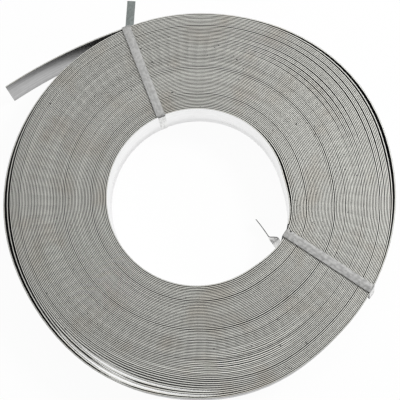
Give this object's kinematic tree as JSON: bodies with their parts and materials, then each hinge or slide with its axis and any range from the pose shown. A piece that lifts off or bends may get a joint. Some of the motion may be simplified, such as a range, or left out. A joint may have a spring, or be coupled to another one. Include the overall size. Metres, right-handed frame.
{
  "type": "steel coil",
  "caption": "Coil of flat grey steel strip lying on its end round an open bore, with loose outer turns, a free outer end and narrow steel ties bent round its section.",
  "frame": {"origin": "centre of the coil: on the bore's axis, halfway up the strip's width", "axes": "+Z along the bore's axis, up from the end that it lies on; the tail and the left tie lie towards +Y, the right tie towards +X"},
  "size_m": [0.3309, 0.357, 0.0414],
  "materials": {
    "strip": "grey galvanised strip, slit edges, satin with faint streaks",
    "tie": "bright galvanised band, lightly mottled"
  },
  "bodies": {
    "root": {"strip_coil": "strip", "tie_left": "tie", "tie_right": "tie"}
  },
  "joints": []
}
